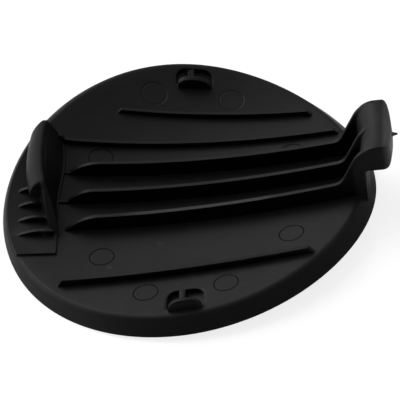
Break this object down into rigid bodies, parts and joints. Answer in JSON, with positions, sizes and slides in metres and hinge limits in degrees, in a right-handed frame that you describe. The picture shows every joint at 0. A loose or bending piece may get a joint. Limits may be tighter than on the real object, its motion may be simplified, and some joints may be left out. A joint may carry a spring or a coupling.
{
  "type": "tow eye cover",
  "caption": "Round plastic cover for the towing eye opening in a bumper, with stiffening ribs on its inner face, a rigid hook at one side and a springy snap tab at the other.",
  "frame": {"origin": "middle of the plate on its ribbed inner face, on the axis along which the cover goes into the bumper opening", "axes": "+Z out of the inner face, into the bumper opening; +X to the hook, -X to the snap tab, along the ribs"},
  "size_m": [0.0972, 0.0914, 0.0211],
  "materials": {
    "moulding": "satin black with a fine grain"
  },
  "bodies": {
    "root": {"tow_eye_cover": "moulding"}
  },
  "joints": []
}
